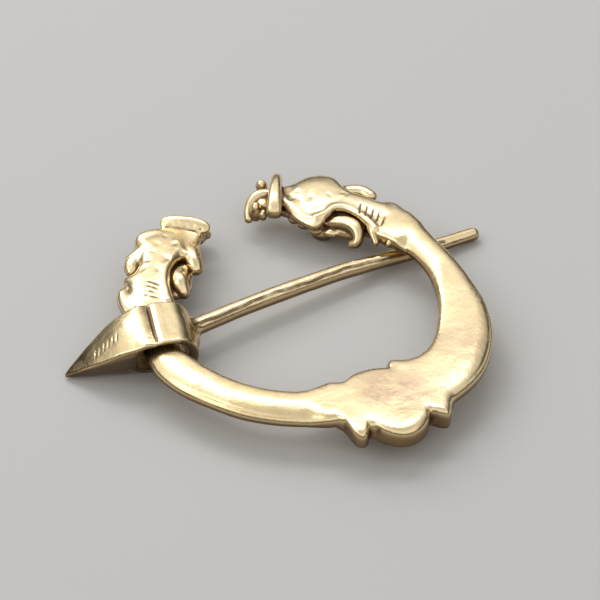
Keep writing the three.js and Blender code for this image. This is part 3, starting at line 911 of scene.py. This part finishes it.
def loop_shape(u, v, w):
    """The band round the arm, broad on the back and narrower below."""
    z = w - HINGE_HEIGHT
    hole = hole_distance(u, z)
    turn = np.arctan2(z / HOLE_HALF_HEIGHT, u / HOLE_HALF_WIDTH)
    inwards = np.maximum(0, -np.cos(turn))
    thickness = BAND_THICKNESS - ROOM + 0.55 * inwards
    spread = ((1 + np.sin(turn)) / 2) ** (1 - 0.6 * inwards)
    half = (BAND_WIDTH_BOTTOM + (BAND_WIDTH_TOP - BAND_WIDTH_BOTTOM) * spread) / 2
    # A soft trough runs along the crown, a swelling beside it, and a shallow dent beyond.
    crown = np.clip(z, 0, 1)
    trough = 0.24 * ripple(u, 0.8, 0.6) + 0.1 * ripple(u, -1.3, 0.8)
    trough = trough * crown - 0.05 * crown * ripple(u, -0.2, 0.5)
    band = np.maximum(-hole, hole - thickness + trough)
    return smooth_max(band, np.abs(v) - half, 0.4)


def tongue_shape(u, v, w):
    """A keeled wedge with a gently arched top, which runs out to a point."""
    rows = np.asarray(TONGUE)
    half, top, under = (curve(rows[:, 0], rows[:, c], u) for c in range(1, 4))
    tall = np.maximum(top - under, 0.1)
    keel = np.minimum(half * 0.36, 1.3)
    level = np.clip((w - under) / tall, 0, 1.2)
    wide = keel + (half - keel) * np.clip(level * 1.25, 0, 1) ** 0.8
    roof = top + 0.1 * half * (1 - np.clip(v / half, -1.5, 1.5) ** 2)
    shape = smooth_max((w - roof) * 0.85, (np.abs(v) - wide) * 0.85, 0.35)
    shape = smooth_max(shape, under - w, 0.3)
    return np.maximum(shape, np.maximum(rows[0, 0] - u, u - rows[-1, 0]))


def hole_shape(u, v, w):
    """The hole, cut off flat where the tongue is joined to the band."""
    return smooth_max(hole_distance(u, w - HINGE_HEIGHT), u - HOLE_END, 0.4)


def seam_line():
    """The places of a fine seam, which wanders along the shaft's upper side."""
    path = spline(SHAFT[:-1])
    sway = 0.62 + 0.1 * np.sin(0.55 * path[:, 0]) + 0.06 * np.sin(1.9 * path[:, 0] + 1)
    out = path[:, 3] + 0.1
    return np.stack([path[:, 0], path[:, 1] - out * np.sin(sway), path[:, 2] + out * np.cos(sway)], 1)


def pin_seam_and_painted_shade(points):
    """How dark the pin's tint is: a real seam line, painted dark reflections along the band's trough and
    towards the tongue's tip, and painted shade inside the loop.
    """
    u, v = from_hinge(points[:, 0], points[:, 1])
    z = points[:, 2] - HINGE_HEIGHT
    on_band = np.abs(v) < HALF_BAND
    # Painted dark reflection along the band's trough.
    trough = 0.8 * ripple(u, 0.85, 0.62) * soft_step(z, 1.5, 2.5) * on_band
    # Painted dark reflection towards the tongue's tip.
    tip = 0.95 * soft_step(u, 5.5, 11)
    # Painted shade inside the loop.
    depth = hole_distance(u, z)
    inside = (1 - soft_step(depth - 0.4 * (u < -2) * (z < 2), 0.2, 0.6)) * on_band
    # The seam's own dark line.
    gap = np.full(len(points), FAR)
    for place in spline(seam_line(), 9):
        gap = np.minimum(gap, np.linalg.norm(points - place, axis=1))
    line = 1 - soft_step(gap, 0.19, 0.34)
    return np.max([trough, tip, inside, line], 0)


def pin():
    field = Field(*PIN_BOX, VOXEL_PIN)
    u, v = from_hinge(field.x, field.y)
    field.plans["hinge"] = (u.astype(np.float32), v.astype(np.float32), np.ones_like(u, bool))
    field.put("hinge", (-5, -4, -0.4), (5, 4, 7), loop_shape, 0.05)
    field.put("hinge", (0.8, -4, 0), (11.4, 4, 6.8), tongue_shape, 0.3)
    field.egg("hinge", (-4.35, -1.1, 3.1), (0.85, 2.5, 1.6), 0.5)
    field.rope("plain", SHAFT, 0.6, per_span=4)
    field.put("hinge", (-4, -6, 0), (4, 6, 7), hole_shape, 0.2, carve=True)
    field.rope("plain", [(*place, 0.18) for place in seam_line()], 0.1, carve=True, per_span=1)
    # A small worn patch of shallow strokes on the tongue.
    strokes(field, "hinge", (4.9, 0.35), (0.55, 0.08), 6, (0.24, 1.1), 0.07, 0.1)
    field.unevenness(5, [(0.025, 9), (0.025, 3.4), (0.01, 1.5)])
    field.foot()
    return surface("pin_cast", field, "pin", "pin", pin_seam_and_painted_shade)


hoop_piece = hoop()
pin_piece = pin()

# ---------------------------------------------------------------- brass

GOLD_DARK = (0.88, 0.70, 0.40)
GOLD_PALE = (0.93, 0.77, 0.49)
TARNISH = (0.70, 0.50, 0.30)
# The next three colours are painted shade: on side walls, on faces turned under and in broad hollows.
PAINTED_WALL_SHADE = (0.60, 0.40, 0.17)
PAINTED_UNDER_SHADE = (0.13, 0.075, 0.038)
PAINTED_HOLLOW_SHADE = (0.34, 0.18, 0.07)
DIRT = (0.10, 0.05, 0.035)
HOOP_STAIN = (0.47, 0.31, 0.25)
# The pin's tint colour: its dark seam line, painted dark reflections and painted shade.
PIN_SEAM_AND_PAINTED_SHADE = (0.13, 0.08, 0.045)


def smooth_range(tree, value, low, high, to_low=0.0, to_high=1.0):
    """A node that runs smoothly from one number to another while a value goes from low to high."""
    node = tree.nodes.new("ShaderNodeMapRange")
    node.interpolation_type = "SMOOTHSTEP"
    ends = {"From Min": low, "From Max": high, "To Min": to_low, "To Max": to_high}
    for socket, number in ends.items():
        node.inputs[socket].default_value = number
    tree.links.new(value, node.inputs["Value"])
    return node.outputs["Result"]


def brass(name, seed, grain_turn, stain_and_shade_colour, stain_and_shade_depth, polish):
    """Polished brass: brown patina in the fine hollows, slow tarnish, fine scratches and a faint casting
    grain.

    Painted shade darkens its broad hollows, its side walls and the faces turned under. A tint mark adds
    stains, painted reflections and painted shade. polish is the roughness of its smoothest and of its dullest
    patches.
    """
    material = bpy.data.materials.new(name)
    material.use_nodes = True
    nodes, links = material.node_tree.nodes, material.node_tree.links
    shader = nodes["Principled BSDF"]
    shader.inputs["Metallic"].default_value = 1

    def mark(attribute):
        node = nodes.new("ShaderNodeAttribute")
        node.attribute_name = attribute
        return node.outputs["Fac"]

    def noise(scale, detail, rough, stretch=(1, 1, 1), turn=0.0):
        mapping = nodes.new("ShaderNodeMapping")
        mapping.inputs["Location"].default_value = (seed, 2 * seed, 3 * seed)
        mapping.inputs["Rotation"].default_value = (0, 0, turn)
        mapping.inputs["Scale"].default_value = stretch
        links.new(place.outputs["Object"], mapping.inputs["Vector"])
        node = nodes.new("ShaderNodeTexNoise")
        node.inputs["Scale"].default_value = scale
        node.inputs["Detail"].default_value = detail
        node.inputs["Roughness"].default_value = rough
        links.new(mapping.outputs["Vector"], node.inputs["Vector"])
        return node.outputs["Fac"]

    def spread(value, *numbers):
        return smooth_range(material.node_tree, value, *numbers)

    def sums(operation, a, b):
        node = nodes.new("ShaderNodeMath")
        node.operation = operation
        for socket, value in zip(node.inputs, (a, b)):
            if isinstance(value, (int, float)):
                socket.default_value = value
            else:
                links.new(value, socket)
        return node.outputs[0]

    def plus(a, b):
        return sums("ADD", a, b)

    def times(a, b):
        return sums("MULTIPLY", a, b)

    def mixed(factor, a, b):
        node = nodes.new("ShaderNodeMix")
        node.data_type = "RGBA"
        links.new(factor, node.inputs[0])
        for socket, value in ((node.inputs[6], a), (node.inputs[7], b)):
            if isinstance(value, tuple):
                socket.default_value = (*value, 1)
            else:
                links.new(value, socket)
        return node.outputs[2]

    place = nodes.new("ShaderNodeTexCoord")
    facing_way = nodes.new("ShaderNodeSeparateXYZ")
    links.new(place.outputs["Normal"], facing_way.inputs[0])
    upwards = facing_way.outputs["Z"]

    # Where each kind of patina, stain and painted shade lies.
    speckle = times(plus(noise(900, 4, 0.55), -0.5), 0.07)
    dirt = spread(plus(mark("relief"), speckle), -0.11, -0.025, 1, 0)
    dirt = sums("MAXIMUM", dirt, spread(mark("fine"), -0.042, -0.018, 0.9, 0))
    # Painted shade over the broad hollows, from the broadest hollow mark.
    shade_in_hollows = spread(mark("shelter"), -0.30, -0.04, 1, 0)
    # Painted shade: faces turned sideways and under are painted nearly black.
    under = times(spread(upwards, -0.1, 0.42, 1, 0), spread(upwards, -0.85, -0.4))
    tarnish = spread(noise(130, 4, 0.6), 0.52, 0.78)
    # The tint: real stains on the hoop; on the pin a dark seam, painted dark reflections and painted shade.
    stain_and_painted_shade = times(mark("tint"), spread(noise(260, 4, 0.65), 0.30, 0.58, 0.35, 1))
    # Painted shade on the side walls: the more upright a face, the browner it is painted.
    painted_wall_shade = spread(upwards, 0.2, 0.7, 1, 0)

    colour = mixed(spread(noise(60, 2, 0.55), 0.3, 0.7), GOLD_DARK, GOLD_PALE)
    colour = mixed(times(tarnish, 0.4), colour, TARNISH)
    colour = mixed(times(stain_and_painted_shade, stain_and_shade_depth), colour, stain_and_shade_colour)
    # Painted shade follows: on the side walls, on the faces turned under and in the broad hollows.
    colour = mixed(times(painted_wall_shade, 0.45), colour, PAINTED_WALL_SHADE)
    colour = mixed(times(under, 0.88), colour, PAINTED_UNDER_SHADE)
    colour = mixed(times(shade_in_hollows, 0.7), colour, PAINTED_HOLLOW_SHADE)
    colour = mixed(times(dirt, 0.88), colour, DIRT)
    links.new(colour, shader.inputs["Base Color"])

    scratches = noise(1500, 2, 0.6, (1, 0.05, 0.3), grain_turn)
    cross = noise(1700, 2, 0.6, (0.06, 1, 0.3), grain_turn + 0.5)
    rough = plus(spread(noise(240, 5, 0.6), 0.3, 0.72, *polish), times(dirt, 0.3))
    rough = plus(plus(rough, times(tarnish, 0.10)), times(scratches, 0.06))
    links.new(rough, shader.inputs["Roughness"])

    height = plus(times(scratches, 0.22), times(cross, 0.12))
    height = plus(height, times(noise(420, 5, 0.6), 1.6))
    height = plus(height, times(noise(1600, 3, 0.6), 0.35))
    bump = nodes.new("ShaderNodeBump")
    bump.inputs["Strength"].default_value = 0.6
    bump.inputs["Distance"].default_value = 0.00008
    links.new(height, bump.inputs["Height"])
    links.new(bump.outputs["Normal"], shader.inputs["Normal"])
    return material


hoop_piece.data.materials.append(brass("hoop_brass", 0.3, 0.2, HOOP_STAIN, 0.75, (0.18, 0.29)))
pin_piece.data.materials.append(brass("pin_brass", 1.7, 1.5, PIN_SEAM_AND_PAINTED_SHADE, 0.9, (0.13, 0.23)))

# ---------------------------------------------------------------- floor, light and camera

FLOOR_REACH = 3.0  # from its middle to each side, in metres
FLOOR_DROP = 0.0001  # the floor lies just under the brooch
VIEW_FROM = (-28.5, 42, 0.3)  # the camera's azimuth and elevation, and its distance in metres
VIEW_AT = (-0.533, 0.380)  # where it looks, in millimetres from the hoop's centre
FOCAL_LENGTH = 149.4


def floor():
    mesh = bpy.data.meshes.new("floor")
    r = FLOOR_REACH
    mesh.from_pydata([(-r, -r, 0), (r, -r, 0), (r, r, 0), (-r, r, 0)], [], [(0, 1, 2, 3)])
    sheet = bpy.data.objects.new("floor", mesh)
    sheet.location.z = -FLOOR_DROP
    bpy.context.scene.collection.objects.link(sheet)
    paint = bpy.data.materials.new("floor_paint")
    paint.use_nodes = True
    shader = paint.node_tree.nodes["Principled BSDF"]
    shader.inputs["Base Color"].default_value = (0.52, 0.515, 0.51, 1)
    shader.inputs["Roughness"].default_value = 0.9
    mesh.materials.append(paint)


def facing(name, data, azimuth, elevation, distance, target=(0, 0, 0)):
    """A light or camera at a distance from its target, turned towards it."""
    a, e = math.radians(azimuth), math.radians(elevation)
    way = Vector((math.sin(a) * math.cos(e), -math.cos(a) * math.cos(e), math.sin(e)))
    thing = bpy.data.objects.new(name, data)
    thing.location = Vector(target) + way * distance
    thing.rotation_euler = way.to_track_quat("Z", "Y").to_euler()
    bpy.context.scene.collection.objects.link(thing)
    return thing


def soft_light(name, azimuth, elevation, distance, size, power, colour):
    """A rectangular soft box that faces the brooch."""
    light = bpy.data.lights.new(name, "AREA")
    light.shape = "RECTANGLE"
    light.size, light.size_y = size
    light.energy = power
    light.color = colour
    facing(name, light, azimuth, elevation, distance)


def sky():
    """A studio that is dark at the horizon, dimmer to the right, and pale above."""
    world = bpy.data.worlds.new("world")
    world.use_nodes = True
    nodes, links = world.node_tree.nodes, world.node_tree.links
    way = nodes.new("ShaderNodeTexCoord")
    parts = nodes.new("ShaderNodeSeparateXYZ")
    links.new(way.outputs["Generated"], parts.inputs[0])
    rise = nodes.new("ShaderNodeValToRGB")
    stops = [(0.0, 0.03), (0.18, 0.07), (0.38, 0.58), (0.54, 1.0), (0.72, 1.0), (1.0, 0.6)]
    while len(rise.color_ramp.elements) < len(stops):
        rise.color_ramp.elements.new(0.5)
    for element, (height, level) in zip(rise.color_ramp.elements, stops):
        element.position = height
        element.color = (level, level * 0.985, level * 0.96, 1)
    links.new(parts.outputs["Z"], rise.inputs["Fac"])
    side = smooth_range(world.node_tree, parts.outputs["X"], 0.5, 0.85, 1.0, 0.3)
    links.new(rise.outputs["Color"], nodes["Background"].inputs["Color"])
    links.new(side, nodes["Background"].inputs["Strength"])
    bpy.context.scene.world = world


def camera():
    lens = bpy.data.cameras.new("camera")
    lens.lens = FOCAL_LENGTH
    lens.sensor_width = 36
    lens.clip_start = 0.01
    target = Vector((CENTRE[0] + VIEW_AT[0], CENTRE[1] + VIEW_AT[1], BACK_HEIGHT)) * MM
    bpy.context.scene.camera = facing("camera", lens, *VIEW_FROM, target)


floor()
soft_light("overhead_box", 166, 62, 0.6, (0.46, 0.13), 0.8, (1.0, 0.99, 0.97))
soft_light("window", -174, 40, 0.6, (0.14, 0.26), 0.5, (1.0, 1.0, 0.98))
soft_light("side_box", -105, 48, 0.6, (0.2, 0.34), 0.4, (1.0, 0.99, 0.97))
sky()
bpy.context.scene.view_settings.view_transform = "Standard"
camera()
